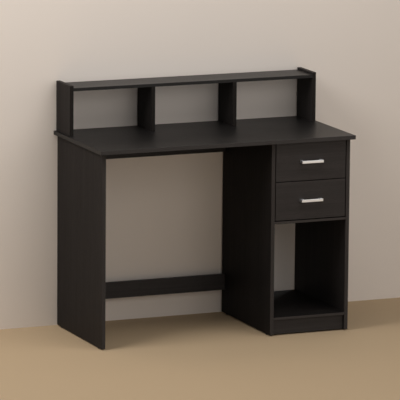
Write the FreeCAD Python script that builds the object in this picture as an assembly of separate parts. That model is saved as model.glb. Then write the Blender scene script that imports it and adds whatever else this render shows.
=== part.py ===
import FreeCAD, Part
import math
import os

Vec = FreeCAD.Vector

# Student desk with a hutch, in millimetres
# +X is the user's right, +Y runs to the rear and +Z is up, from the floor under the desktop's middle

# Desktop and boards
TOP_WIDTH = 1025.0
TOP_DEPTH = 490.0
DESK_HEIGHT = 750.0
BOARD = 15.0
SHELF_BOARD = 10.0
HUTCH_SHELF_BOARD = 12.0
EDGE_ROUND = 0.8
SIDE_OVERHANG = 13.0
FRONT_OVERHANG = 21.0
REAR_OVERHANG = 7.0

# Floor glides, nailed under the panels
GLIDE_HEIGHT = 5.0
GLIDE_RADIUS = 7.0
GLIDE_ROUND = 0.8
GLIDE_NAIL_RADIUS = 1.2
GLIDE_NAIL_LENGTH = 12.0
GLIDE_INSET = 40.0

# Pedestal with drawers above and an open-backed cubby below
PEDESTAL_WIDTH = 321.0
BOTTOM_SHELF_RISE = 61.0
CUBBY_HEIGHT = 356.5
KICK_RECESS = 12.0
SHELF_REAR_INSET = 12.0

# Rails across the rear
RAIL_REAR_INSET = 12.0
APRON_HEIGHT = 101.0
STRETCHER_RISE = 95.0
STRETCHER_HEIGHT = 62.0

# Hutch
HUTCH_HEIGHT = 190.0
HUTCH_DEPTH = 142.0
HUTCH_SIDE_INSET = 10.0
HUTCH_REAR_INSET = 2.0
HUTCH_SHELF_DROP = 9.0
HUTCH_MIDDLE_BAY = 318.0

# Drawers
REVEAL = 3.2
DRAWER_BOARD = 12.0
DRAWER_REAR_GAP = 20.0
BOX_HEADROOM = 37.25
BOTTOM_PANEL = 3.0
GROOVE_DEPTH = 5.0
GROOVE_RISE = 10.0
GROOVE_PLAY = 0.2

# Bar handles
HANDLE_LENGTH = 88.0
HANDLE_HEIGHT = 10.0
HANDLE_PROJECTION = 20.0
HANDLE_BAR = 5.0
HANDLE_LEG = 12.0
HANDLE_CORNER = 2.5
HANDLE_ROUND = 0.8
HANDLE_SCREW_RADIUS = 2.0
HANDLE_SCREW_GRIP = 9.0
HANDLE_SCREW_HEAD_RADIUS = 4.0
HANDLE_SCREW_HEAD = 2.4
HANDLE_HOLE_PLAY = 0.4

# Roller runners
RUNNER_SPACE = 12.5
STEEL = 1.2
STEEL_BEND = 0.9
CHANNEL_RISE = 2.5
CHANNEL_SETBACK = 2.0
CHANNEL_OVERRUN = 2.0
CHANNEL_HEADROOM = 2.8
FLANGE_GAP = 0.7
MEMBER_SETBACK = 1.0
MEMBER_REAR_INSET = 3.0
MEMBER_RISE = 3.0
ROLLER_RADIUS = 9.5
ROLLER_SIDE_ROOM = 3.05
ROLLER_DISH = 1.2
ROLLER_RIM = 1.8
ROLLER_ROUND = 0.5
ROLLER_END = 12.0
ROLLER_PLAY = 0.2
OPEN_ROLLER_SPACING = 81.0
RUNNING_GAP = 0.3
AXLE_RADIUS = 2.5
AXLE_FIT = 0.05
AXLE_COLLAR_RADIUS = 4.0
AXLE_HEAD = 0.6
STOP_HEIGHT = 4.0
STOP_GAP = 0.5
END_STOP_HEIGHT = 11.0

# Countersunk screws, whose heads are as high as the runner steel is thick
SCREW_RADIUS = 1.75
SCREW_HEAD_RADIUS = 3.2
SCREW_HEAD = STEEL
SCREW_GRIP = 9.0
SCREW_INSET = 45.0
BOX_SCREW_GRIP = 24.0
HUTCH_SCREW_GRIP = 30.0
HUTCH_SCREW_INSET = 25.0

# Cam fittings and dowels
CAM_RADIUS = 7.5
CAM_SKIN = 1.8
CAM_RECESS = 0.3
CAM_DISTANCE = 24.0
CAM_SLOT = 1.4
CAM_SLOT_DEPTH = 1.0
CAM_INSET = 50.0
BOLT_THREAD_RADIUS = 2.5
BOLT_ANCHOR = 11.0
BOLT_SHANK_RADIUS = 1.7
BOLT_HEAD_RADIUS = 2.5
BOLT_HEAD = 4.0
BOLT_PLAY = 0.4
DOWEL_RADIUS = 3.0
DOWEL_LENGTH = 30.0
DOWEL_FACE_DEPTH = 8.0
DOWEL_CHAMFER = 0.6
DOWEL_STEP = 32.0
BORE_FIT = 0.05
BORE_END = 0.5
HAIR = 0.01

# Places worked out from the driving dimensions
TOP_REAR = TOP_DEPTH / 2
PANEL_FRONT = -TOP_DEPTH / 2 + FRONT_OVERHANG
PANEL_REAR = TOP_REAR - REAR_OVERHANG
TOP_UNDERSIDE = DESK_HEIGHT - BOARD
DESK_LEFT = -TOP_WIDTH / 2 + SIDE_OVERHANG
DESK_RIGHT = TOP_WIDTH / 2 - SIDE_OVERHANG
KNEE_LEFT = DESK_LEFT + BOARD
PEDESTAL_LEFT = DESK_RIGHT - PEDESTAL_WIDTH
BAY_LEFT = PEDESTAL_LEFT + BOARD
BAY_RIGHT = DESK_RIGHT - BOARD
BOTTOM_SHELF_TOP = BOTTOM_SHELF_RISE + SHELF_BOARD
DRAWER_SHELF_UNDERSIDE = BOTTOM_SHELF_TOP + CUBBY_HEIGHT
DRAWER_SHELF_TOP = DRAWER_SHELF_UNDERSIDE + SHELF_BOARD
SHELF_REAR = PANEL_REAR - SHELF_REAR_INSET
RAIL_REAR = PANEL_REAR - RAIL_REAR_INSET
RAIL_FRONT = RAIL_REAR - BOARD
RAIL_MIDDLE = RAIL_REAR - BOARD / 2
APRON_BOTTOM = TOP_UNDERSIDE - APRON_HEIGHT
KICK_FRONT = PANEL_FRONT + KICK_RECESS
HUTCH_RIGHT = TOP_WIDTH / 2 - HUTCH_SIDE_INSET
HUTCH_REAR = TOP_REAR - HUTCH_REAR_INSET
HUTCH_FRONT = HUTCH_REAR - HUTCH_DEPTH
HUTCH_MIDDLE = HUTCH_REAR - HUTCH_DEPTH / 2
HUTCH_TOP = DESK_HEIGHT + HUTCH_HEIGHT
HUTCH_SHELF_TOP = HUTCH_TOP - HUTCH_SHELF_DROP
HUTCH_SHELF_UNDERSIDE = HUTCH_SHELF_TOP - HUTCH_SHELF_BOARD
DIVIDER_INNER = HUTCH_MIDDLE_BAY / 2
DRAWER_LEVELS = ["lower", "upper"]
DRAWER_BAY_HEIGHT = TOP_UNDERSIDE - DRAWER_SHELF_TOP
DRAWER_FRONT_HEIGHT = (DRAWER_BAY_HEIGHT - REVEAL) / len(DRAWER_LEVELS) - REVEAL
DRAWER_FRONT_REAR = PANEL_FRONT + BOARD
BOX_REAR = RAIL_FRONT - DRAWER_REAR_GAP
BOX_LEFT = BAY_LEFT + RUNNER_SPACE
BOX_RIGHT = BAY_RIGHT - RUNNER_SPACE
PANEL_LEFT_FACES = {
    "left_side_panel": DESK_LEFT,
    "pedestal_left_panel": PEDESTAL_LEFT,
    "pedestal_right_panel": BAY_RIGHT,
}
RUNNER_SIDES = {
    "left": (BAY_LEFT, 1, "pedestal_left_panel"),
    "right": (BAY_RIGHT, -1, "pedestal_right_panel"),
}

# Places across and up one runner: reach is counted from the panel, height from the foot of the channel
ROLLER_REACH = RUNNER_SPACE / 2
ROLLER_WIDTH = RUNNER_SPACE - 2 * ROLLER_SIDE_ROOM
ROLLER_HEIGHT = STEEL + RUNNING_GAP + ROLLER_RADIUS
TRACK_HEIGHT = ROLLER_HEIGHT + ROLLER_RADIUS + RUNNING_GAP
MEMBER_WEB = RUNNER_SPACE - STEEL
CHANNEL_FLANGE = MEMBER_WEB - FLANGE_GAP
CHANNEL_HEIGHT = TRACK_HEIGHT + STEEL + CHANNEL_HEADROOM + STEEL
BOX_RISE = MEMBER_RISE + STEEL
DRAWER_BOX_HEIGHT = DRAWER_FRONT_HEIGHT - CHANNEL_RISE - BOX_RISE - BOX_HEADROOM
CHANNEL_FRONT = DRAWER_FRONT_REAR + CHANNEL_SETBACK
CHANNEL_REAR = BOX_REAR + CHANNEL_OVERRUN
MEMBER_FRONT = DRAWER_FRONT_REAR + MEMBER_SETBACK
MEMBER_REAR = BOX_REAR - MEMBER_REAR_INSET
CHANNEL_ROLLER_Y = CHANNEL_FRONT + ROLLER_END
MEMBER_ROLLER_Y = MEMBER_REAR - ROLLER_END
DRAWER_TRAVEL = MEMBER_ROLLER_Y - CHANNEL_ROLLER_Y - OPEN_ROLLER_SPACING

ALONG_X = Vec(1, 0, 0)
ALONG_Y = Vec(0, 1, 0)
UP = Vec(0, 0, 1)

pieces = {}
groups = {}
cutters = {}


def block(x0, x1, y0, y1, z0, z1):
    return Part.makeBox(x1 - x0, y1 - y0, z1 - z0, Vec(x0, y0, z0))


def board(name, x0, x1, y0, y1, z0, z1, is_eased):
    """A board between the given faces, with the edges that is_eased picks by their box rounded over."""
    shape = block(x0, x1, y0, y1, z0, z1)
    edges = [edge for edge in shape.Edges if is_eased(edge.BoundBox)]
    pieces[name] = shape.makeFillet(EDGE_ROUND, edges)


def front_edges(y0):
    return lambda box: box.YMax < y0 + HAIR


def front_and_top_edges(y0, z1):
    return lambda box: box.YMax < y0 + HAIR or box.ZMin > z1 - HAIR


def long_edges(box):
    return box.XLength > HAIR


def every_edge(box):
    return True


def turned(outline):
    """A solid of revolution about Z from (radius, height) points."""
    points = [Vec(radius, 0, height) for radius, height in outline]
    face = Part.Face(Part.makePolygon(points + points[:1]))
    return face.revolve(Vec(0, 0, 0), UP, 360)


def placed(shape, point, direction):
    """A copy of a turned shape with its foot at point and its axis along direction."""
    moved = shape.copy()
    moved.Placement = FreeCAD.Placement(point, FreeCAD.Rotation(UP, direction))
    return moved


def drill(name, radius, depth, point, direction):
    cutters.setdefault(name, []).append(Part.makeCylinder(radius, depth, point, direction))


def add(group, solid):
    groups.setdefault(group, []).append(solid)


def screw(grip):
    """A countersunk screw, head face at the foot, with grip counted past the head."""
    return turned([
        (0, 0), (SCREW_HEAD_RADIUS, 0), (SCREW_RADIUS, SCREW_HEAD),
        (SCREW_RADIUS, SCREW_HEAD + grip - SCREW_RADIUS), (0, SCREW_HEAD + grip)])


def countersink(name, point, direction, depth):
    """A hole for a countersunk screw, driven along direction from the face at point."""
    bore = SCREW_RADIUS + BORE_FIT
    rim = SCREW_HEAD_RADIUS + BORE_FIT
    hole = turned([(0, 0), (rim, 0), (bore, SCREW_HEAD), (bore, depth), (0, depth)])
    cutters.setdefault(name, []).append(placed(hole, point, direction))


def cam_bolt():
    """A cam bolt about Z: thread above the joint plane, head at the far end below it."""
    head_end = BOLT_HEAD / 2 - CAM_DISTANCE
    head_start = head_end - BOLT_HEAD
    return turned([
        (0, head_start), (BOLT_HEAD_RADIUS, head_start), (BOLT_HEAD_RADIUS, head_end),
        (BOLT_SHANK_RADIUS, head_end), (BOLT_SHANK_RADIUS, 0), (BOLT_THREAD_RADIUS, 0),
        (BOLT_THREAD_RADIUS, BOLT_ANCHOR), (0, BOLT_ANCHOR)])


def cam_disc(point, into_face, mouth, thickness):
    """A cam disc in its pocket, open towards the bolt and slotted for a screwdriver."""
    height = thickness - CAM_SKIN - CAM_RECESS
    centre = point - into_face * CAM_DISTANCE
    foot = centre - mouth * (thickness / 2 - CAM_SKIN)
    disc = Part.makeCylinder(CAM_RADIUS - BORE_FIT, height, foot, mouth)
    side = mouth.cross(into_face)
    half = BOLT_HEAD_RADIUS + BOLT_PLAY
    throat = Part.makeBox(CAM_RADIUS + half, 2 * half, 2 * half, Vec(-half, -half, -half))
    slot = Part.makeBox(2 * CAM_RADIUS, CAM_SLOT, CAM_SLOT_DEPTH, Vec(-CAM_RADIUS, -CAM_SLOT / 2, 0))
    turn = FreeCAD.Rotation(into_face, side, mouth, "XYZ")
    throat.Placement = FreeCAD.Placement(centre, turn)
    slot.Placement = FreeCAD.Placement(foot + mouth * (height - CAM_SLOT_DEPTH), turn)
    return disc.cut([throat, slot]).Solids[0]


def cam_joint(end_board, face_board, point, into_face, mouth, thickness):
    """A bolt in face_board's face and a cam disc in end_board, at point on the joint plane."""
    add("cam_lock_bolts", placed(cam_bolt(), point, into_face))
    add("cam_lock_discs", cam_disc(point, into_face, mouth, thickness))
    drill(face_board, BOLT_THREAD_RADIUS + BORE_FIT, BOLT_ANCHOR + BORE_END, point, into_face)
    bolt_depth = CAM_DISTANCE + BOLT_HEAD / 2 + BORE_END
    drill(end_board, BOLT_HEAD_RADIUS + BOLT_PLAY, bolt_depth, point, -into_face)
    pocket_mouth = point - into_face * CAM_DISTANCE + mouth * (thickness / 2)
    drill(end_board, CAM_RADIUS, thickness - CAM_SKIN, pocket_mouth, -mouth)


def dowel_joint(group, end_board, face_board, point, into_face):
    """A dowel across the joint plane at point, short in the face and long in the end grain."""
    dowel = turned([
        (0, 0), (DOWEL_RADIUS - DOWEL_CHAMFER, 0), (DOWEL_RADIUS, DOWEL_CHAMFER),
        (DOWEL_RADIUS, DOWEL_LENGTH - DOWEL_CHAMFER), (DOWEL_RADIUS - DOWEL_CHAMFER, DOWEL_LENGTH),
        (0, DOWEL_LENGTH)])
    end_depth = DOWEL_LENGTH - DOWEL_FACE_DEPTH
    add(group, placed(dowel, point - into_face * end_depth, into_face))
    drill(face_board, DOWEL_RADIUS + BORE_FIT, DOWEL_FACE_DEPTH + BORE_END, point, into_face)
    drill(end_board, DOWEL_RADIUS + BORE_FIT, end_depth + BORE_END, point, -into_face)


def build_carcass():
    """The desktop, the three panels, the pedestal's shelves and kick board, and the rear rails."""
    board("desktop", -TOP_WIDTH / 2, TOP_WIDTH / 2, -TOP_DEPTH / 2, TOP_REAR,
          TOP_UNDERSIDE, DESK_HEIGHT, every_edge)
    for name, x in PANEL_LEFT_FACES.items():
        board(name, x, x + BOARD, PANEL_FRONT, PANEL_REAR, GLIDE_HEIGHT, TOP_UNDERSIDE,
              front_edges(PANEL_FRONT))
    shelves = {"pedestal_bottom_shelf": BOTTOM_SHELF_RISE, "drawer_bay_shelf": DRAWER_SHELF_UNDERSIDE}
    for name, z in shelves.items():
        board(name, BAY_LEFT, BAY_RIGHT, PANEL_FRONT, SHELF_REAR, z, z + SHELF_BOARD,
              front_edges(PANEL_FRONT))
    board("kick_board", BAY_LEFT, BAY_RIGHT, KICK_FRONT, KICK_FRONT + BOARD,
          GLIDE_HEIGHT, BOTTOM_SHELF_RISE, front_edges(KICK_FRONT))
    board("rear_apron", KNEE_LEFT, PEDESTAL_LEFT, RAIL_FRONT, RAIL_REAR,
          APRON_BOTTOM, TOP_UNDERSIDE, long_edges)
    board("pedestal_rear_rail", BAY_LEFT, BAY_RIGHT, RAIL_FRONT, RAIL_REAR,
          APRON_BOTTOM, TOP_UNDERSIDE, long_edges)
    board("lower_stretcher", KNEE_LEFT, PEDESTAL_LEFT, RAIL_FRONT, RAIL_REAR,
          STRETCHER_RISE, STRETCHER_RISE + STRETCHER_HEIGHT, long_edges)


def build_hutch():
    """Two side panels, the shelf between them and the two dividers under it."""
    eased = front_and_top_edges(HUTCH_FRONT, HUTCH_TOP)
    sides = {"hutch_left_panel": -HUTCH_RIGHT, "hutch_right_panel": HUTCH_RIGHT - BOARD}
    for name, x in sides.items():
        board(name, x, x + BOARD, HUTCH_FRONT, HUTCH_REAR, DESK_HEIGHT, HUTCH_TOP, eased)
    board("hutch_shelf", BOARD - HUTCH_RIGHT, HUTCH_RIGHT - BOARD, HUTCH_FRONT, HUTCH_REAR,
          HUTCH_SHELF_UNDERSIDE, HUTCH_SHELF_TOP, long_edges)
    dividers = {"hutch_left_divider": -DIVIDER_INNER - BOARD, "hutch_right_divider": DIVIDER_INNER}
    for name, x in dividers.items():
        board(name, x, x + BOARD, HUTCH_FRONT, HUTCH_REAR, DESK_HEIGHT, HUTCH_SHELF_UNDERSIDE,
              front_edges(HUTCH_FRONT))
    for name, x in (sides | dividers).items():
        for y in (HUTCH_FRONT + HUTCH_SCREW_INSET, HUTCH_REAR - HUTCH_SCREW_INSET):
            foot = Vec(x + BOARD / 2, y, TOP_UNDERSIDE)
            length = BOARD + HUTCH_SCREW_GRIP
            add("hutch_screws", placed(screw(length - SCREW_HEAD), foot, UP))
            countersink("desktop", foot, UP, BOARD + HAIR)
            drill(name, SCREW_RADIUS + BORE_FIT, HUTCH_SCREW_GRIP + BORE_END, foot + UP * BOARD, UP)
    shelf_middle = HUTCH_SHELF_TOP - HUTCH_SHELF_BOARD / 2
    for name, direction in (("hutch_left_panel", -1), ("hutch_right_panel", 1)):
        point = Vec(direction * (HUTCH_RIGHT - BOARD), HUTCH_MIDDLE, shelf_middle)
        cam_joint("hutch_shelf", name, point, ALONG_X * direction, -UP, HUTCH_SHELF_BOARD)
        for y in (-DOWEL_STEP, DOWEL_STEP):
            dowel_joint("wood_dowels", "hutch_shelf", name, point + ALONG_Y * y, ALONG_X * direction)
    for name, x in dividers.items():
        for y in (-DOWEL_STEP, DOWEL_STEP):
            point = Vec(x + BOARD / 2, HUTCH_MIDDLE + y, HUTCH_SHELF_UNDERSIDE)
            dowel_joint("wood_dowels", name, "hutch_shelf", point, UP)


def join_carcass():
    """Cam fittings and dowels between the desktop, panels, shelves and rails."""
    inner_side = {
        "left_side_panel": ALONG_X,
        "pedestal_left_panel": ALONG_X,
        "pedestal_right_panel": -ALONG_X,
    }
    for panel, mouth in inner_side.items():
        for y, step in ((PANEL_FRONT + CAM_INSET, DOWEL_STEP), (PANEL_REAR - CAM_INSET, -DOWEL_STEP)):
            point = Vec(PANEL_LEFT_FACES[panel] + BOARD / 2, y, TOP_UNDERSIDE)
            cam_joint(panel, "desktop", point, UP, mouth, BOARD)
            dowel_joint("wood_dowels", panel, "desktop", point + ALONG_Y * step, UP)
    pedestal_ends = [
        ("pedestal_left_panel", BAY_LEFT, -ALONG_X),
        ("pedestal_right_panel", BAY_RIGHT, ALONG_X),
    ]
    knee_ends = [
        ("left_side_panel", KNEE_LEFT, -ALONG_X),
        ("pedestal_left_panel", PEDESTAL_LEFT, ALONG_X),
    ]
    shelf_tops = {
        "pedestal_bottom_shelf": BOTTOM_SHELF_TOP,
        "drawer_bay_shelf": DRAWER_SHELF_TOP,
    }
    for panel, x, into_face in pedestal_ends:
        for shelf, top in shelf_tops.items():
            for y in (PANEL_FRONT + CAM_INSET, SHELF_REAR - CAM_INSET):
                point = Vec(x, y, top - SHELF_BOARD / 2)
                cam_joint(shelf, panel, point, into_face, -UP, SHELF_BOARD)
        kick_middle = Vec(x, KICK_FRONT + BOARD / 2, (GLIDE_HEIGHT + BOTTOM_SHELF_RISE) / 2)
        for z in (-DOWEL_STEP / 2, DOWEL_STEP / 2):
            dowel_joint("wood_dowels", "kick_board", panel, kick_middle + UP * z, into_face)
        rail_middle = Vec(x, RAIL_MIDDLE, TOP_UNDERSIDE - APRON_HEIGHT / 2)
        cam_joint("pedestal_rear_rail", panel, rail_middle - UP * DOWEL_STEP / 2, into_face, ALONG_Y, BOARD)
        dowel_joint("wood_dowels", "pedestal_rear_rail", panel, rail_middle + UP * DOWEL_STEP / 2, into_face)
    for panel, x, into_face in knee_ends:
        apron_middle = Vec(x, RAIL_MIDDLE, TOP_UNDERSIDE - APRON_HEIGHT / 2)
        cam_joint("rear_apron", panel, apron_middle, into_face, ALONG_Y, BOARD)
        dowel_joint("wood_dowels", "rear_apron", panel, apron_middle + UP * DOWEL_STEP, into_face)
        low_middle = Vec(x, RAIL_MIDDLE, STRETCHER_RISE + STRETCHER_HEIGHT / 2)
        cam_joint("lower_stretcher", panel, low_middle - UP * DOWEL_STEP / 2, into_face, ALONG_Y, BOARD)
        dowel_joint("wood_dowels", "lower_stretcher", panel, low_middle + UP * DOWEL_STEP / 2, into_face)


def build_glides():
    """Two nail-on glides under each panel."""
    glide = turned([
        (0, 0), (GLIDE_RADIUS - GLIDE_ROUND, 0), (GLIDE_RADIUS, GLIDE_ROUND), (GLIDE_RADIUS, GLIDE_HEIGHT),
        (GLIDE_NAIL_RADIUS, GLIDE_HEIGHT), (GLIDE_NAIL_RADIUS, GLIDE_HEIGHT + GLIDE_NAIL_LENGTH),
        (0, GLIDE_HEIGHT + GLIDE_NAIL_LENGTH + GLIDE_NAIL_RADIUS)])
    nail_depth = GLIDE_NAIL_LENGTH + GLIDE_NAIL_RADIUS + BORE_END
    for panel, x in PANEL_LEFT_FACES.items():
        for y in (PANEL_FRONT + GLIDE_INSET, PANEL_REAR - GLIDE_INSET):
            foot = Vec(x + BOARD / 2, y, 0)
            add("floor_glides", placed(glide, foot, UP))
            drill(panel, GLIDE_NAIL_RADIUS + BORE_FIT, nail_depth, foot + UP * GLIDE_HEIGHT, UP)


def folded(wall, inward, foot, y_start, y_end, outline, bends):
    """A folded steel strip: (reach, height) points run along Y, with its outer bends rounded."""
    points = [Vec(wall + inward * reach, y_start, foot + height) for reach, height in outline]
    strip = Part.Face(Part.makePolygon(points + points[:1])).extrude(ALONG_Y * (y_end - y_start))
    corners = [points[index] for index in bends]
    edges = []
    for edge in strip.Edges:
        middle = edge.CenterOfMass
        if any(abs(middle.x - corner.x) + abs(middle.z - corner.z) < HAIR for corner in corners):
            edges.append(edge)
    return strip.makeFillet(STEEL_BEND, edges)


def across(wall, inward, reach0, reach1, y0, y1, z0, z1):
    ends = sorted((wall + inward * reach0, wall + inward * reach1))
    return block(ends[0], ends[1], y0, y1, z0, z1)


def roller():
    """A dished nylon wheel about Z, its middle plane at zero."""
    half = ROLLER_WIDTH / 2
    bore = AXLE_RADIUS + AXLE_FIT
    hub = AXLE_COLLAR_RADIUS
    rim = ROLLER_RADIUS - ROLLER_RIM
    side = [
        (bore, half), (hub, half), (hub, half - ROLLER_DISH), (rim, half - ROLLER_DISH), (rim, half),
        (ROLLER_RADIUS - ROLLER_ROUND, half), (ROLLER_RADIUS, half - ROLLER_ROUND)]
    return turned(side + [(radius, -height) for radius, height in reversed(side)])


def roller_axle():
    """A riveted axle about Z, standing on the back of the steel that carries it."""
    near_face = ROLLER_REACH - ROLLER_WIDTH / 2 - ROLLER_PLAY
    far_face = ROLLER_REACH + ROLLER_WIDTH / 2 + ROLLER_PLAY
    return turned([
        (0, 0), (AXLE_RADIUS, 0), (AXLE_RADIUS, STEEL), (AXLE_COLLAR_RADIUS, STEEL),
        (AXLE_COLLAR_RADIUS, near_face), (AXLE_RADIUS, near_face), (AXLE_RADIUS, far_face),
        (AXLE_COLLAR_RADIUS, far_face), (AXLE_COLLAR_RADIUS, far_face + AXLE_HEAD),
        (0, far_face + AXLE_HEAD)])


def build_channel(level, side, foot):
    """The runner channel on a pedestal panel, with its front roller, stops, axle and screws."""
    wall, inward, panel = RUNNER_SIDES[side]
    name = f"{level}_{side}_runner_channel"
    into_bay = ALONG_X * inward
    outline = [
        (0, 0), (CHANNEL_FLANGE, 0), (CHANNEL_FLANGE, STEEL), (STEEL, STEEL),
        (STEEL, CHANNEL_HEIGHT - STEEL), (CHANNEL_FLANGE, CHANNEL_HEIGHT - STEEL),
        (CHANNEL_FLANGE, CHANNEL_HEIGHT), (0, CHANNEL_HEIGHT)]
    channel = folded(wall, inward, foot, CHANNEL_FRONT, CHANNEL_REAR, outline, (0, 7))
    tread = foot + STEEL
    end_stop = MEMBER_ROLLER_Y + ROLLER_RADIUS + STOP_GAP
    lift = ROLLER_RADIUS + RUNNING_GAP - STOP_HEIGHT
    front_stop = MEMBER_ROLLER_Y - DRAWER_TRAVEL - STOP_GAP - math.sqrt(ROLLER_RADIUS ** 2 - lift ** 2)
    stops = [
        across(wall, inward, STEEL, CHANNEL_FLANGE, end_stop, end_stop + STEEL,
               tread, tread + END_STOP_HEIGHT),
        across(wall, inward, STEEL, CHANNEL_FLANGE, front_stop - STEEL, front_stop,
               tread, tread + STOP_HEIGHT)]
    pieces[name] = channel.fuse(stops).removeSplitter()
    axle_foot = Vec(wall, CHANNEL_ROLLER_Y, foot + ROLLER_HEIGHT)
    drill(name, AXLE_RADIUS + BORE_FIT, STEEL, axle_foot, into_bay)
    add("channel_roller_axles", placed(roller_axle(), axle_foot, into_bay))
    pieces[f"{level}_{side}_channel_roller"] = placed(roller(), axle_foot + into_bay * ROLLER_REACH, into_bay)
    for y in (CHANNEL_FRONT + SCREW_INSET, CHANNEL_REAR - SCREW_INSET):
        head = Vec(wall + inward * STEEL, y, foot + CHANNEL_HEIGHT / 2)
        add("channel_screws", placed(screw(SCREW_GRIP), head, -into_bay))
        countersink(name, head, -into_bay, STEEL + HAIR)
        drill(panel, SCREW_RADIUS + BORE_FIT, SCREW_GRIP + BORE_END, Vec(wall, y, head.z), -into_bay)


def build_member(level, side, foot):
    """The folded member under a drawer side, with its rear roller, axle and screws."""
    wall, inward, panel = RUNNER_SIDES[side]
    name = f"{level}_drawer_{side}_runner"
    into_bay = ALONG_X * inward
    flange_end = RUNNER_SPACE + DRAWER_BOARD
    track_tip = ROLLER_REACH - ROLLER_WIDTH / 2
    outline = [
        (MEMBER_WEB, MEMBER_RISE), (flange_end, MEMBER_RISE), (flange_end, BOX_RISE),
        (RUNNER_SPACE, BOX_RISE), (RUNNER_SPACE, TRACK_HEIGHT + STEEL),
        (track_tip, TRACK_HEIGHT + STEEL), (track_tip, TRACK_HEIGHT), (MEMBER_WEB, TRACK_HEIGHT)]
    pieces[name] = folded(wall, inward, foot, MEMBER_FRONT, MEMBER_REAR, outline, (0, 4))
    axle_foot = Vec(wall + inward * RUNNER_SPACE, MEMBER_ROLLER_Y, foot + ROLLER_HEIGHT)
    drill(name, AXLE_RADIUS + BORE_FIT, STEEL, axle_foot, -into_bay)
    add(f"{level}_drawer_roller_axles", placed(roller_axle(), axle_foot, -into_bay))
    pieces[f"{level}_drawer_{side}_roller"] = placed(roller(), axle_foot - into_bay * ROLLER_REACH, into_bay)
    for y in (MEMBER_FRONT + SCREW_INSET, MEMBER_REAR - SCREW_INSET):
        head = Vec(wall + inward * (RUNNER_SPACE + DRAWER_BOARD / 2), y, foot + MEMBER_RISE)
        add(f"{level}_drawer_runner_screws", placed(screw(SCREW_GRIP), head, UP))
        countersink(name, head, UP, STEEL + HAIR)
        drill(f"{level}_drawer_{side}_side", SCREW_RADIUS + BORE_FIT, SCREW_GRIP + BORE_END,
              head + UP * STEEL, UP)


def build_drawer_box(level, front_bottom, box_bottom):
    """The drawer front, sides, back and bottom panel, with their dowels and screws."""
    name = f"{level}_drawer"
    board(f"{name}_front", BAY_LEFT + REVEAL, BAY_RIGHT - REVEAL, PANEL_FRONT, DRAWER_FRONT_REAR,
          front_bottom, front_bottom + DRAWER_FRONT_HEIGHT, front_edges(PANEL_FRONT))
    box_top = box_bottom + DRAWER_BOX_HEIGHT
    groove_bottom = box_bottom + GROOVE_RISE
    groove_top = groove_bottom + BOTTOM_PANEL + GROOVE_PLAY
    inner_left = BOX_LEFT + DRAWER_BOARD
    inner_right = BOX_RIGHT - DRAWER_BOARD
    groove = block(inner_left - GROOVE_DEPTH, inner_right + GROOVE_DEPTH,
                   DRAWER_FRONT_REAR - GROOVE_DEPTH, BOX_REAR, groove_bottom, groove_top)
    for side, x in (("left", BOX_LEFT), ("right", inner_right)):
        pieces[f"{name}_{side}_side"] = block(x, x + DRAWER_BOARD, DRAWER_FRONT_REAR, BOX_REAR,
                                              box_bottom, box_top)
        cutters.setdefault(f"{name}_{side}_side", []).append(groove)
    cutters.setdefault(f"{name}_front", []).append(groove)
    pieces[f"{name}_back"] = block(inner_left, inner_right, BOX_REAR - DRAWER_BOARD, BOX_REAR,
                                   groove_top, box_top)
    reach = GROOVE_DEPTH - BORE_END
    pieces[f"{name}_bottom"] = block(inner_left - reach, inner_right + reach,
                                     DRAWER_FRONT_REAR - reach, BOX_REAR,
                                     groove_bottom, groove_bottom + BOTTOM_PANEL)
    quarter = (box_top - groove_top) / 4
    for z in (groove_top + quarter, box_top - quarter):
        for side, face, inward in (("left", BOX_LEFT, ALONG_X), ("right", BOX_RIGHT, -ALONG_X)):
            middle = Vec(face, DRAWER_FRONT_REAR, z) + inward * DRAWER_BOARD / 2
            dowel_joint(f"{name}_dowels", f"{name}_{side}_side", f"{name}_front", middle, -ALONG_Y)
            head = Vec(face, BOX_REAR - DRAWER_BOARD / 2, z)
            length = DRAWER_BOARD + BOX_SCREW_GRIP
            add(f"{name}_box_screws", placed(screw(length - SCREW_HEAD), head, inward))
            countersink(f"{name}_{side}_side", head, inward, DRAWER_BOARD + HAIR)
            drill(f"{name}_back", SCREW_RADIUS + BORE_FIT, BOX_SCREW_GRIP + BORE_END,
                  head + inward * DRAWER_BOARD, inward)


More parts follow.
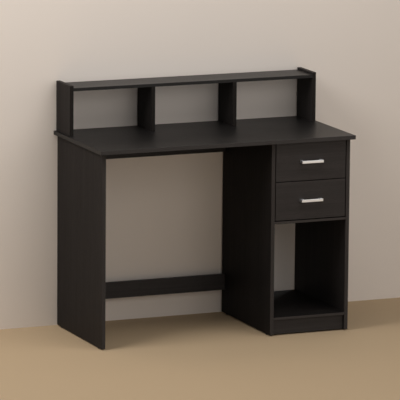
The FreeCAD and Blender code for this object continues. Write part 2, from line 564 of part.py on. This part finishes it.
def build_handle(level, middle):
    """A bridge-shaped bar handle on the drawer front and the two screws that hold it from inside."""
    name = f"{level}_drawer"
    face = PANEL_FRONT
    half = HANDLE_LENGTH / 2
    low = middle.z - HANDLE_HEIGHT / 2
    high = middle.z + HANDLE_HEIGHT / 2
    bar = block(middle.x - half, middle.x + half, face - HANDLE_PROJECTION, face, low, high)
    gap = block(middle.x - half + HANDLE_LEG, middle.x + half - HANDLE_LEG,
                face - HANDLE_PROJECTION + HANDLE_BAR, face, low, high)
    bridge = bar.cut(gap).Solids[0]
    off_face = [edge for edge in bridge.Edges if edge.BoundBox.YMax < face - HAIR]
    bends = [edge for edge in off_face if edge.BoundBox.ZLength > HAIR]
    bridge = bridge.makeFillet(HANDLE_CORNER, bends)
    level_edges = [edge for edge in bridge.Edges if edge.BoundBox.ZLength < HAIR]
    rims = [edge for edge in level_edges if edge.BoundBox.YMin < face - HAIR]
    pieces[f"{name}_handle"] = bridge.makeFillet(HANDLE_ROUND, rims)
    length = BOARD + HANDLE_SCREW_GRIP
    handle_screw = turned([
        (0, -HANDLE_SCREW_HEAD), (HANDLE_SCREW_HEAD_RADIUS, -HANDLE_SCREW_HEAD),
        (HANDLE_SCREW_HEAD_RADIUS, 0), (HANDLE_SCREW_RADIUS, 0), (HANDLE_SCREW_RADIUS, length), (0, length)])
    for x in (HANDLE_LEG / 2 - half, half - HANDLE_LEG / 2):
        head = Vec(middle.x + x, DRAWER_FRONT_REAR, middle.z)
        add(f"{name}_handle_screws", placed(handle_screw, head, -ALONG_Y))
        drill(f"{name}_front", HANDLE_SCREW_RADIUS + HANDLE_HOLE_PLAY, BOARD, head, -ALONG_Y)
        drill(f"{name}_handle", HANDLE_SCREW_RADIUS + BORE_FIT, HANDLE_SCREW_GRIP + BORE_END,
              head - ALONG_Y * BOARD, -ALONG_Y)


build_carcass()
build_hutch()
join_carcass()
build_glides()
for index, level in enumerate(DRAWER_LEVELS):
    front_bottom = DRAWER_SHELF_TOP + REVEAL + index * (DRAWER_FRONT_HEIGHT + REVEAL)
    channel_foot = front_bottom + CHANNEL_RISE
    build_drawer_box(level, front_bottom, channel_foot + BOX_RISE)
    build_handle(level, Vec((BAY_LEFT + BAY_RIGHT) / 2, PANEL_FRONT, front_bottom + DRAWER_FRONT_HEIGHT / 2))
    for side in RUNNER_SIDES:
        build_channel(level, side, channel_foot)
        build_member(level, side, channel_foot)

for name, tools in cutters.items():
    pieces[name] = pieces[name].cut(tools).Solids[0]
for name, solids in groups.items():
    pieces[name] = Part.makeCompound(solids)

os.makedirs("parts", exist_ok=True)
for name, shape in pieces.items():
    shape.exportStep(os.path.join("parts", name + ".step"))
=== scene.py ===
import math

import bpy
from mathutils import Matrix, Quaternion, Vector

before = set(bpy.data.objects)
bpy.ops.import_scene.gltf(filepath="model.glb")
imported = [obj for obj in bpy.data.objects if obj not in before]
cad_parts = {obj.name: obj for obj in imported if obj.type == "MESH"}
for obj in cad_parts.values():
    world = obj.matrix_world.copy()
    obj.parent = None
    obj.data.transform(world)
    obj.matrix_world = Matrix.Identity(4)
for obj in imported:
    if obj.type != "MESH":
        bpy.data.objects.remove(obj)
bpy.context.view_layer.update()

# Finishes of a student desk with a hutch, in metres
# +X is the user's right, +Y runs to the rear and +Z is up

# Camera
CAMERA_PLACE = Vector((-5.8637, -13.8899, 3.2927))
CAMERA_AIM = Vector((-0.0161, 0.0, 0.4953))
CAMERA_LENS = 366.62
CAMERA_SENSOR = 36.0
CAMERA_ROLL = math.radians(0.4745)
CAMERA_REACH = 200.0

# Stage
FLOOR_REACH = 60.0
FLOOR_COLOUR = (0.49, 0.375, 0.245, 1.0)
WALL_COLOUR = (0.90, 0.85, 0.805, 1.0)
WALL_PLACE = 0.252
WALL_REACH = 3.0
WALL_HEIGHT = 2.6
STAGE_SHADE = 0.97
STAGE_SHINE = 0.15
STAGE_ROUGHNESS = 0.8
EVEN_FLOOR = (0.42, 0.32, 0.215, 1.0)
EVEN_FLOOR_START = 1.3
EVEN_FLOOR_FULL = 2.2
SKY_COLOUR = (1.0, 0.98, 0.96, 1.0)
SKY_LIGHT = 0.03
SKY_SEEN = 0.85

# Studio lights: name, place, aim, width, height, watts, colour
SOFT_WHITE = (1.0, 0.95, 0.90)
WARM_WHITE = (1.0, 0.93, 0.865)
COOL_WHITE = (1.0, 0.97, 0.94)
LIGHTS = (
    ("side_softbox", (-2.3, -0.6, 2.9), (-0.4, 0.0, 0.6), 1.4, 1.4, 62.0, SOFT_WHITE),
    ("high_softbox", (0.3, -1.2, 3.0), (0.1, 0.0, 0.6), 2.2, 1.2, 23.0, SOFT_WHITE),
    ("right_softbox", (2.4, -2.6, 1.8), (0.1, 0.0, 0.6), 2.2, 2.2, 13.0, WARM_WHITE),
    ("front_softbox", (0.3, -3.6, 1.4), (0.1, 0.0, 0.6), 2.4, 2.4, 22.0, WARM_WHITE),
    ("rear_softbox", (3.2, 2.2, 0.55), (0.1, 0.2, 0.5), 1.4, 0.7, 90.0, COOL_WHITE),
)
REAR_LIGHT = "rear_softbox"

# Laminate colours before the tone of each kind of board; the tone is painted light and shade that makes one
# laminate darker or lighter per board
LAMINATE_DEEP = (0.0138, 0.0121, 0.0117)
LAMINATE_PALE = (0.0247, 0.0217, 0.0210)
LAMINATE_FIBRE = (0.0084, 0.0073, 0.0070)
LAMINATE_PORE = (0.0054, 0.0048, 0.0046)
# Lighter edge colour, partly wear and partly a painted highlight
LAMINATE_WORN_HIGHLIGHT = (0.047, 0.0415, 0.0385)

# Laminate grain: noise cells per metre along and across it, and how much each layer counts
FIGURE_CELLS = (0.9, 11.0, 11.0)
STREAK_CELLS = (2.2, 110.0, 110.0)
FIBRE_CELLS = (7.0, 620.0, 620.0)
PORE_CELLS = (38.0, 900.0, 900.0)
FIGURE_SHARE = 0.40
STREAK_SHARE = 0.60
FIBRE_HEIGHT = 0.6
PORE_HEIGHT = -0.8
END_TURN = 0.7

# Edge bands on the front of the boards, coloured per board as painted light and shade: painted darker on
# the hutch and the shelf, painted lighter on the desktop, the cubby shelves and the uprights
DESKTOP_EDGE_PAINTED_LIGHT = (0.027, 0.0243, 0.0235, 1.0)
SHELF_EDGE_PAINTED_SHADE = (0.0030, 0.0026, 0.0024, 1.0)
CUBBY_EDGE_PAINTED_LIGHT = (0.046, 0.0415, 0.0400, 1.0)
UPRIGHT_EDGE_PAINTED_LIGHT = (0.037, 0.0334, 0.0322, 1.0)
HUTCH_EDGE_PAINTED_SHADE = (0.0120, 0.0105, 0.0096, 1.0)
EDGE_BAND_LIGHT_SHADE_STRENGTH = 0.85
EDGING_ROUGHNESS = 0.85

# Board finishes: name, grain axis, grain axis on the ends, tone, shine, roughness, edge band light and
# shade. The tone is painted light and shade on one laminate: painted darker on the desktop, the shelves and
# the boards inside the kneehole and the hutch, painted lighter on the fronts
# Painted shade: the inner, divider, level, shelf and cubby laminates are the same laminate at a darker
# tone; painted light: the facing laminate at a lighter tone
BOARD_FINISHES = (
    ("upright_laminate", "Z", "Y", 1.06, 0.08, 0.42, UPRIGHT_EDGE_PAINTED_LIGHT),
    ("inner_laminate_painted_shade", "Z", "Y", 0.68, 0.06, 0.42, UPRIGHT_EDGE_PAINTED_LIGHT),
    ("hutch_laminate", "Z", "Y", 1.06, 0.07, 0.42, HUTCH_EDGE_PAINTED_SHADE),
    ("divider_laminate_painted_shade", "Z", "Y", 0.68, 0.06, 0.42, HUTCH_EDGE_PAINTED_SHADE),
    ("level_laminate_painted_shade", "X", "Y", 0.22, 0.29, 0.29, DESKTOP_EDGE_PAINTED_LIGHT),
    ("shelf_laminate_painted_shade", "X", "Y", 0.38, 0.33, 0.30, SHELF_EDGE_PAINTED_SHADE),
    ("cubby_laminate_painted_shade", "X", "Y", 0.36, 0.04, 0.50, CUBBY_EDGE_PAINTED_LIGHT),
    ("facing_laminate_painted_light", "X", "Z", 1.25, 0.16, 0.40, None),
)
BOARDS = {
    "upright_laminate": ("left_side_panel", "pedestal_right_panel"),
    "inner_laminate_painted_shade": ("pedestal_left_panel",),
    "hutch_laminate": ("hutch_left_panel", "hutch_right_panel"),
    "divider_laminate_painted_shade": ("hutch_left_divider", "hutch_right_divider"),
    "level_laminate_painted_shade": ("desktop",),
    "shelf_laminate_painted_shade": ("hutch_shelf",),
    "cubby_laminate_painted_shade": ("pedestal_bottom_shelf", "drawer_bay_shelf"),
    "facing_laminate_painted_light": ("kick_board", "rear_apron", "pedestal_rear_rail", "lower_stretcher",
                        "upper_drawer_front", "lower_drawer_front"),
}
DRAWERS = ("upper", "lower")
SIDES = ("left", "right")
CARCASS_FITTINGS = (
    "cam_lock_bolts", "cam_lock_discs", "hutch_screws", "channel_screws", "channel_roller_axles",
)
DRAWER_FITTINGS = (
    "handle_screws", "box_screws", "roller_axles", "runner_screws",
)

# Other finishes
WORN_AND_HIGHLIT_EDGE_SAMPLES = 6
FOIL_DEEP = (0.024, 0.022, 0.0205, 1.0)
FOIL_PALE = (0.042, 0.039, 0.036, 1.0)
FOIL_FLECK = (0.016, 0.015, 0.014, 1.0)
# Lighter edge colour, partly wear and partly a painted highlight
FOIL_WORN_HIGHLIGHT = (0.075, 0.069, 0.063, 1.0)
FOIL_ROUGHNESS = 0.52
FOIL_EMBOSS_CELLS = 1500.0
HARDBOARD_DEEP = (0.030, 0.025, 0.021, 1.0)
HARDBOARD_PALE = (0.086, 0.071, 0.058, 1.0)
HARDBOARD_CLOUD = (0.045, 0.038, 0.033, 1.0)
HARDBOARD_SPECK = (0.125, 0.100, 0.076, 1.0)
HARDBOARD_ROUGHNESS = 0.55
NICKEL_DEEP = (0.75, 0.78, 0.83, 1.0)
NICKEL_PALE = (0.82, 0.85, 0.90, 1.0)
# Lighter edge colour, partly wear and partly a painted highlight
NICKEL_WORN_HIGHLIGHT = (0.88, 0.90, 0.93, 1.0)
NICKEL_ROUGHNESS = 0.24
COAT_DEEP = (0.020, 0.020, 0.021, 1.0)
COAT_PALE = (0.040, 0.040, 0.041, 1.0)
COAT_BARE = (0.30, 0.30, 0.29, 1.0)
COAT_ROUGHNESS = 0.34
NYLON_DEEP = (0.70, 0.69, 0.65, 1.0)
NYLON_PALE = (0.80, 0.79, 0.755, 1.0)
NYLON_SOILED = (0.33, 0.32, 0.30, 1.0)
NYLON_ROUGHNESS = 0.34
NYLON_RING_SCALE = 9.0
NYLON_RING_WOBBLE = 0.6
ZINC_GREY = (0.52, 0.53, 0.55, 1.0)
ZINC_TINTED = (0.62, 0.60, 0.54, 1.0)
ZINC_DULL = (0.42, 0.42, 0.42, 1.0)
ZINC_ROUGHNESS = 0.24
BEECH_DEEP = (0.50, 0.355, 0.225, 1.0)
BEECH_PALE = (0.72, 0.545, 0.365, 1.0)
BEECH_FLECK = (0.36, 0.235, 0.14, 1.0)
BEECH_ROUGHNESS = 0.55
PLASTIC_DEEP = (0.012, 0.012, 0.012, 1.0)
PLASTIC_PALE = (0.028, 0.028, 0.028, 1.0)
PLASTIC_SCUFF = (0.07, 0.068, 0.065, 1.0)
PLASTIC_ROUGHNESS = 0.42


class Finish:
    """A procedural material that is being wired up. Noise is given in cells per metre."""

    def __init__(self, name):
        self.material = bpy.data.materials.new(name)
        self.material.use_nodes = True
        self.tree = self.material.node_tree
        self.surface = self.tree.nodes["Principled BSDF"]
        coordinates = self.node("ShaderNodeTexCoord")
        self.place = coordinates.outputs["Object"]
        self.spot = coordinates.outputs["Generated"]
        self.normal = coordinates.outputs["Normal"]

    def node(self, kind, **settings):
        made = self.tree.nodes.new(kind)
        for name, value in settings.items():
            setattr(made, name, value)
        return made

    def feed(self, socket, value):
        if isinstance(value, bpy.types.NodeSocket):
            self.tree.links.new(value, socket)
        else:
            socket.default_value = value

    def constants(self, **values):
        for name, value in values.items():
            self.surface.inputs[name.replace("_", " ")].default_value = value

    def math(self, operation, first, second=0.0):
        made = self.node("ShaderNodeMath", operation=operation)
        self.feed(made.inputs[0], first)
        self.feed(made.inputs[1], second)
        return made.outputs[0]

    def vector_math(self, operation, first, second):
        made = self.node("ShaderNodeVectorMath", operation=operation)
        self.feed(made.inputs[0], first)
        self.feed(made.inputs[1], second)
        return made.outputs["Value"] if operation == "DOT_PRODUCT" else made.outputs["Vector"]

    def ranged(self, value, low, high):
        made = self.node("ShaderNodeMapRange", interpolation_type="SMOOTHSTEP")
        self.feed(made.inputs["Value"], value)
        self.feed(made.inputs["From Min"], low)
        self.feed(made.inputs["From Max"], high)
        return made.outputs["Result"]

    def added(self, value, mask, amount):
        """A value raised where a mask shows, or lowered for an amount below zero."""
        return self.math("ADD", value, self.math("MULTIPLY", mask, amount))

    def blend(self, factor, first, second):
        made = self.node("ShaderNodeMix", data_type="RGBA")
        self.feed(made.inputs[0], factor)
        self.feed(made.inputs[6], first)
        self.feed(made.inputs[7], second)
        return made.outputs[2]

    def tinted(self, base, mask, colour, strength):
        """A colour laid over the base where a mask shows."""
        return self.blend(self.math("MULTIPLY", mask, strength), base, colour)

    def choose(self, factor, first, second):
        made = self.node("ShaderNodeMix", data_type="VECTOR")
        self.feed(made.inputs[0], factor)
        self.feed(made.inputs[4], first)
        self.feed(made.inputs[5], second)
        return made.outputs[1]

    def noise(self, vector, cells, detail, roughness=0.55, distortion=0.0):
        made = self.node("ShaderNodeTexNoise")
        self.feed(made.inputs["Vector"], self.vector_math("MULTIPLY", vector, cells))
        self.feed(made.inputs["Scale"], 1.0)
        self.feed(made.inputs["Detail"], detail)
        self.feed(made.inputs["Roughness"], roughness)
        self.feed(made.inputs["Distortion"], distortion)
        return made.outputs["Fac"]

    def even_noise(self, cells, detail):
        return self.noise(self.place, (cells, cells, cells), detail)

    def split(self, vector):
        parts = self.node("ShaderNodeSeparateXYZ")
        self.feed(parts.inputs[0], vector)
        return {axis: parts.outputs[axis] for axis in "XYZ"}

    def led_by(self, first):
        """The place on the object, with one axis put before the other two."""
        parts = self.split(self.place)
        joined = self.node("ShaderNodeCombineXYZ")
        for place, axis in enumerate([first] + [axis for axis in "XYZ" if axis != first]):
            self.feed(joined.inputs[place], parts[axis])
        return joined.outputs[0]

    # Mask of the edges, for lighter edges that are partly wear and partly a painted highlight, and for
    # rubbed coat
    def edges(self, radius, sharpest=0.72, flattest=0.97):
        rounded = self.node("ShaderNodeBevel", samples=WORN_AND_HIGHLIT_EDGE_SAMPLES)
        self.feed(rounded.inputs["Radius"], radius)
        flat = self.node("ShaderNodeNewGeometry").outputs["Normal"]
        turn = self.vector_math("DOT_PRODUCT", rounded.outputs["Normal"], flat)
        return self.ranged(turn, flattest, sharpest)

    def bump(self, height, depth, strength):
        made = self.node("ShaderNodeBump")
        self.feed(made.inputs["Height"], height)
        self.feed(made.inputs["Distance"], depth)
        self.feed(made.inputs["Strength"], strength)
        return made.outputs["Normal"]

    def finish(self, colour, roughness, normal):
        self.feed(self.surface.inputs["Base Color"], colour)
        self.feed(self.surface.inputs["Roughness"], roughness)
        self.feed(self.surface.inputs["Normal"], normal)
        return self.material


def toned(colour, tone):
    return tuple(part * tone for part in colour) + (1.0,)


def laminate(name, along, ends, tone, shine, roughness, edge_band_light_and_shade):
    """Black woodgrain melamine, with its grain along one axis and edge bands on the front. Its tone and
    edge band colour are painted light and shade, and its lighter edges are partly wear, partly a painted
    highlight.
    """
    made = Finish(name)
    facing = made.split(made.normal)
    on_end = made.math("GREATER_THAN", made.math("ABSOLUTE", facing[along]), END_TURN)
    grain = made.choose(on_end, made.led_by(along), made.led_by(ends))
    figure = made.noise(grain, FIGURE_CELLS, detail=4.0, distortion=1.1)
    figure = made.ranged(figure, low=0.32, high=0.68)
    streaks = made.noise(grain, STREAK_CELLS, detail=5.0, roughness=0.62)
    streaks = made.ranged(streaks, low=0.30, high=0.70)
    fibres = made.noise(grain, FIBRE_CELLS, detail=3.0, roughness=0.6)
    pores = made.noise(grain, PORE_CELLS, detail=2.0)
    pores = made.ranged(pores, low=0.60, high=0.69)
    smudges = made.even_noise(cells=5.0, detail=3.0)
    worn_and_highlit_edges = made.edges(radius=0.0014)
    mottle = made.added(made.math("MULTIPLY", figure, FIGURE_SHARE), streaks, amount=STREAK_SHARE)
    # The tone scales the laminate colours as painted light and shade for each kind of board
    base = made.blend(mottle, toned(LAMINATE_DEEP, tone), toned(LAMINATE_PALE, tone))
    base = made.tinted(base, fibres, toned(LAMINATE_FIBRE, tone), strength=0.35)
    base = made.tinted(base, pores, toned(LAMINATE_PORE, tone), strength=0.6)
    rough = made.added(roughness, fibres, amount=0.14)
    rough = made.added(rough, smudges, amount=0.10)
    rough = made.added(rough, pores, amount=0.12)
    if edge_band_light_and_shade:
        on_front = made.ranged(made.math("ABSOLUTE", facing["Y"]), low=0.6, high=0.8)
        # Painted light and shade: the edge band of each kind of board gets its own brightness
        base = made.tinted(base, on_front, edge_band_light_and_shade, strength=EDGE_BAND_LIGHT_SHADE_STRENGTH)
        rough = made.math("MAXIMUM", rough, made.math("MULTIPLY", on_front, EDGING_ROUGHNESS))
    # Lighter edges: partly wear, partly a painted highlight
    base = made.tinted(base, worn_and_highlit_edges, toned(LAMINATE_WORN_HIGHLIGHT, tone), strength=0.5)
    rough = made.added(rough, worn_and_highlit_edges, amount=-0.08)
    height = made.added(made.math("MULTIPLY", fibres, FIBRE_HEIGHT), pores, amount=PORE_HEIGHT)
    made.constants(IOR=1.47, Specular_IOR_Level=shine)
    return made.finish(base, rough, made.bump(height, depth=0.00012, strength=0.55))


def plain_foil(name):
    """Matt black foil on the thin boards of the drawer boxes, with a fine leathery emboss and lighter edges
    that are partly wear, partly a painted highlight.
    """
    made = Finish(name)
    cells = made.node("ShaderNodeTexVoronoi", feature="F1")
    made.feed(cells.inputs["Vector"], made.place)
    made.feed(cells.inputs["Scale"], FOIL_EMBOSS_CELLS)
    clouds = made.even_noise(cells=9.0, detail=4.0)
    flecks = made.even_noise(cells=420.0, detail=3.0)
    worn_and_highlit_edges = made.edges(radius=0.0010)
    base = made.blend(clouds, FOIL_DEEP, FOIL_PALE)
    base = made.tinted(base, flecks, FOIL_FLECK, strength=0.3)
    # Lighter edges: partly wear, partly a painted highlight
    base = made.tinted(base, worn_and_highlit_edges, FOIL_WORN_HIGHLIGHT, strength=0.5)
    rough = made.added(FOIL_ROUGHNESS, clouds, amount=0.16)
    made.constants(IOR=1.45, Specular_IOR_Level=0.4)
    return made.finish(base, rough, made.bump(cells.outputs["Distance"], depth=0.00008, strength=0.5))


def painted_hardboard(name):
    """Thin hardboard under dark paint, with pressed fibres showing through."""
    made = Finish(name)
    fibres = made.noise(made.place, (160.0, 240.0, 160.0), detail=6.0, roughness=0.7, distortion=1.6)
    clouds = made.even_noise(cells=7.0, detail=3.0)
    specks = made.ranged(made.even_noise(cells=700.0, detail=2.0), low=0.62, high=0.72)
    base = made.blend(fibres, HARDBOARD_DEEP, HARDBOARD_PALE)
    base = made.tinted(base, clouds, HARDBOARD_CLOUD, strength=0.4)
    base = made.tinted(base, specks, HARDBOARD_SPECK, strength=0.5)
    rough = made.added(HARDBOARD_ROUGHNESS, fibres, amount=0.2)
    made.constants(IOR=1.45, Specular_IOR_Level=0.4)
    return made.finish(base, rough, made.bump(fibres, depth=0.00012, strength=0.6))


def satin_nickel(name):
    """Satin nickel plate, brushed along the bar, with lighter edges that are partly wear, partly a painted
    highlight.
    """
    made = Finish(name)
    strokes = made.noise(made.place, (26.0, 3200.0, 3200.0), detail=4.0, roughness=0.65)
    clouds = made.even_noise(cells=55.0, detail=2.0)
    worn_and_highlit_edges = made.edges(radius=0.0010)
    base = made.blend(clouds, NICKEL_DEEP, NICKEL_PALE)
    # Lighter edges: partly wear, partly a painted highlight
    base = made.tinted(base, worn_and_highlit_edges, NICKEL_WORN_HIGHLIGHT, strength=0.6)
    rough = made.added(NICKEL_ROUGHNESS, strokes, amount=0.2)
    made.constants(Metallic=1.0, Anisotropic=0.4)
    return made.finish(base, rough, made.bump(strokes, depth=0.00003, strength=0.5))


def coated_steel(name):
    """Black epoxy coat on folded steel, rubbed through here and there along the edges."""
    made = Finish(name)
    peel = made.even_noise(cells=900.0, detail=2.0)
    clouds = made.even_noise(cells=24.0, detail=3.0)
    patches = made.ranged(made.even_noise(cells=130.0, detail=4.0), low=0.48, high=0.66)
    rubbed = made.math("MULTIPLY", made.edges(radius=0.0006), patches)
    base = made.blend(clouds, COAT_DEEP, COAT_PALE)
    base = made.tinted(base, rubbed, COAT_BARE, strength=0.8)
    rough = made.added(COAT_ROUGHNESS, clouds, amount=0.16)
    made.constants(IOR=1.5)
    return made.finish(base, rough, made.bump(peel, depth=0.00006, strength=0.5))


def moulded_nylon(name):
    """White nylon rollers with turned rings and a greyed running track."""
    made = Finish(name)
    rings = made.node("ShaderNodeTexWave", wave_type="RINGS", rings_direction="X")
    made.feed(rings.inputs["Vector"], made.vector_math("SUBTRACT", made.spot, (0.5, 0.5, 0.5)))
    made.feed(rings.inputs["Scale"], NYLON_RING_SCALE)
    made.feed(rings.inputs["Distortion"], NYLON_RING_WOBBLE)
    grime = made.even_noise(cells=240.0, detail=4.0)
    facing = made.split(made.normal)
    tread = made.ranged(made.math("ABSOLUTE", facing["X"]), low=0.45, high=0.10)
    soiled = made.math("MULTIPLY", tread, made.ranged(grime, low=0.35, high=0.7))
    base = made.blend(grime, NYLON_DEEP, NYLON_PALE)
    base = made.tinted(base, soiled, NYLON_SOILED, strength=0.55)
    rough = made.added(NYLON_ROUGHNESS, grime, amount=0.2)
    made.constants(IOR=1.53, Subsurface_Weight=0.12, Subsurface_Scale=0.002)
    return made.finish(base, rough, made.bump(rings.outputs["Fac"], depth=0.00006, strength=0.35))


def zinc_plate(name):
    """Bright zinc plate with a faint cloudy tint."""
    made = Finish(name)
    clouds = made.even_noise(cells=320.0, detail=4.0)
    tint = made.even_noise(cells=90.0, detail=2.0)
    turning = made.even_noise(cells=1800.0, detail=2.0)
    base = made.blend(tint, ZINC_GREY, ZINC_TINTED)
    base = made.tinted(base, clouds, ZINC_DULL, strength=0.4)
    rough = made.added(ZINC_ROUGHNESS, clouds, amount=0.24)
    made.constants(Metallic=1.0)
    return made.finish(base, rough, made.bump(turning, depth=0.00003, strength=0.4))


def bare_beech(name):
    """Bare beech dowel rod with short flecks."""
    made = Finish(name)
    grain = made.noise(made.place, (60.0, 420.0, 420.0), detail=4.0, distortion=0.6)
    flecks = made.ranged(made.noise(made.place, (300.0, 1500.0, 1500.0), detail=2.0), low=0.6, high=0.7)
    base = made.blend(grain, BEECH_DEEP, BEECH_PALE)
    base = made.tinted(base, flecks, BEECH_FLECK, strength=0.6)
    rough = made.added(BEECH_ROUGHNESS, grain, amount=0.2)
    made.constants(IOR=1.45, Specular_IOR_Level=0.35)
    return made.finish(base, rough, made.bump(grain, depth=0.0001, strength=0.5))


def moulded_plastic(name):
    """Moulded black plastic with a spark-eroded texture and scuffs."""
    made = Finish(name)
    texture = made.even_noise(cells=1400.0, detail=3.0)
    scuffs = made.ranged(made.noise(made.place, (260.0, 900.0, 260.0), detail=3.0), low=0.52, high=0.7)
    base = made.blend(texture, PLASTIC_DEEP, PLASTIC_PALE)
    base = made.tinted(base, scuffs, PLASTIC_SCUFF, strength=0.4)
    rough = made.added(PLASTIC_ROUGHNESS, texture, amount=0.2)
    made.constants(IOR=1.49)
    return made.finish(base, rough, made.bump(texture, depth=0.00006, strength=0.5))


def dress(material, names):
    """Puts one finish on the named nodes of the frame."""
    for name in names:
        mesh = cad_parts[name].data
        mesh.materials.clear()
        mesh.materials.append(material)


def of_drawers(*endings):
    return [f"{level}_drawer_{ending}" for level in DRAWERS for ending in endings]


def of_runners(ending):
    return [f"{level}_{side}_{ending}" for level in DRAWERS for side in SIDES]


def dress_desk():
    for finish in BOARD_FINISHES:
        dress(laminate(*finish), BOARDS[finish[0]])
    dress(plain_foil("drawer_foil"), of_drawers("left_side", "right_side", "back"))
    dress(painted_hardboard("drawer_hardboard"), of_drawers("bottom"))
    dress(satin_nickel("handle_nickel"), of_drawers("handle"))
    runners = of_drawers("left_runner", "right_runner") + of_runners("runner_channel")
    dress(coated_steel("runner_coat"), runners)
    rollers = of_drawers("left_roller", "right_roller") + of_runners("channel_roller")
    dress(moulded_nylon("roller_nylon"), rollers)
    dress(zinc_plate("fitting_zinc"), list(CARCASS_FITTINGS) + of_drawers(*DRAWER_FITTINGS))
    dress(bare_beech("dowel_beech"), ["wood_dowels"] + of_drawers("dowels"))
    dress(moulded_plastic("glide_plastic"), ["floor_glides"])


def stage_plane(name, corners, colour):
    """One plain stage surface and its paint."""
    mesh = bpy.data.meshes.new(name)
    mesh.from_pydata(corners, [], [(0, 1, 2, 3)])
    plane = bpy.data.objects.new(name, mesh)
    bpy.context.scene.collection.objects.link(plane)
    made = Finish(name + "_paint")
    paint = made.even_noise(cells=1.5, detail=2.0)
    grit = made.even_noise(cells=300.0, detail=2.0)
    made.constants(Specular_IOR_Level=STAGE_SHINE, Roughness=STAGE_ROUGHNESS)
    made.feed(made.surface.inputs["Base Color"], made.blend(paint, toned(colour[:3], STAGE_SHADE), colour))
    made.feed(made.surface.inputs["Normal"], made.bump(grit, depth=0.0001, strength=0.2))
    mesh.materials.append(made.material)
    return plane, made


def add_shader(made, factor, kind):
    """Mixes another shader over a stage surface, and gives that shader."""
    surface = made.tree.nodes["Material Output"].inputs["Surface"]
    under = surface.links[0].from_socket
    over = made.node(kind)
    mixed = made.node("ShaderNodeMixShader")
    made.feed(mixed.inputs[0], factor)
    made.feed(mixed.inputs[1], under)
    made.feed(mixed.inputs[2], over.outputs[0])
    made.feed(surface, mixed.outputs[0])
    return over


def even_when_far(made):
    """Away from the desk, where no lamp reaches, the floor shows as one plain tone."""
    away = made.vector_math("DOT_PRODUCT", made.place, made.place)
    far = made.ranged(away, EVEN_FLOOR_START ** 2, EVEN_FLOOR_FULL ** 2)
    ray = made.node("ShaderNodeLightPath")
    seen = made.math("MAXIMUM", ray.outputs["Is Camera Ray"], ray.outputs["Is Glossy Ray"])
    plain = add_shader(made, made.math("MULTIPLY", far, seen), "ShaderNodeEmission")
    plain.inputs["Color"].default_value = EVEN_FLOOR


def clear_from_behind(made):
    """A stage surface doesn't hide the desk from a camera behind it."""
    behind = made.node("ShaderNodeNewGeometry").outputs["Backfacing"]
    seen = made.node("ShaderNodeLightPath").outputs["Is Camera Ray"]
    add_shader(made, made.math("MULTIPLY", behind, seen), "ShaderNodeBsdfTransparent")


def clear_to_lamps(made):
    """Lamps on the far side of a stage surface still light the desk."""
    to_lamp = made.node("ShaderNodeLightPath").outputs["Is Shadow Ray"]
    add_shader(made, to_lamp, "ShaderNodeBsdfTransparent")


def floor_strip(name, near, far):
    side = FLOOR_REACH / 2
    corners = [(-side, near, 0.0), (side, near, 0.0), (side, far, 0.0), (-side, far, 0.0)]
    floor, made = stage_plane(name, corners, FLOOR_COLOUR)
    even_when_far(made)
    clear_from_behind(made)
    return floor


def set_stage():
    """A floor and a wall behind the desk. Gives the strip of floor on the far side of the wall."""
    floor_strip("floor", -FLOOR_REACH / 2, WALL_PLACE)
    side = WALL_REACH / 2
    corners = [(-side, WALL_PLACE, 0.0), (side, WALL_PLACE, 0.0),
               (side, WALL_PLACE, WALL_HEIGHT), (-side, WALL_PLACE, WALL_HEIGHT)]
    paint = stage_plane("wall", corners, WALL_COLOUR)[1]
    clear_from_behind(paint)
    clear_to_lamps(paint)
    return floor_strip("rear_floor", WALL_PLACE, FLOOR_REACH / 2)


def set_sky():
    """A pale sky for the eye and for shiny surfaces, which adds little light of its own."""
    world = bpy.data.worlds.new("studio_sky")
    bpy.context.scene.world = world
    world.use_nodes = True
    tree = world.node_tree
    sky = tree.nodes["Background"]
    sky.inputs["Color"].default_value = SKY_COLOUR
    ray = tree.nodes.new("ShaderNodeLightPath")
    seen = tree.nodes.new("ShaderNodeMath")
    seen.operation = "MAXIMUM"
    level = tree.nodes.new("ShaderNodeMapRange")
    level.inputs["To Min"].default_value = SKY_LIGHT
    level.inputs["To Max"].default_value = SKY_SEEN
    tree.links.new(ray.outputs["Is Camera Ray"], seen.inputs[0])
    tree.links.new(ray.outputs["Is Glossy Ray"], seen.inputs[1])
    tree.links.new(seen.outputs[0], level.inputs["Value"])
    tree.links.new(level.outputs["Result"], sky.inputs["Strength"])


def set_lights(rear_floor):
    """Studio lights. The rear one leaves out the front floor, so that no light creeps in under the desk."""
    rear_lit = bpy.data.collections.new("rear_lit")
    for thing in list(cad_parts.values()) + [rear_floor]:
        rear_lit.objects.link(thing)
    for name, place, aim, width, height, watts, colour in LIGHTS:
        data = bpy.data.lights.new(name, "AREA")
        data.shape = "RECTANGLE"
        data.size = width
        data.size_y = height
        data.energy = watts
        data.color = colour
        light = bpy.data.objects.new(name, data)
        light.location = place
        light.rotation_mode = "QUATERNION"
        light.rotation_quaternion = (Vector(aim) - Vector(place)).to_track_quat("-Z", "Y")
        bpy.context.scene.collection.objects.link(light)
        if name == REAR_LIGHT:
            light.light_linking.receiver_collection = rear_lit


def set_camera():
    data = bpy.data.cameras.new("photo_camera")
    data.sensor_width = CAMERA_SENSOR
    data.lens = CAMERA_LENS
    data.clip_end = CAMERA_REACH
    camera = bpy.data.objects.new("photo_camera", data)
    camera.location = CAMERA_PLACE
    camera.rotation_mode = "QUATERNION"
    look = (CAMERA_AIM - CAMERA_PLACE).to_track_quat("-Z", "Y")
    camera.rotation_quaternion = look @ Quaternion((0.0, 0.0, 1.0), CAMERA_ROLL)
    bpy.context.scene.collection.objects.link(camera)
    bpy.context.scene.camera = camera


bpy.context.scene.view_settings.view_transform = "Standard"
dress_desk()
rear_floor = set_stage()
set_sky()
set_lights(rear_floor)
set_camera()
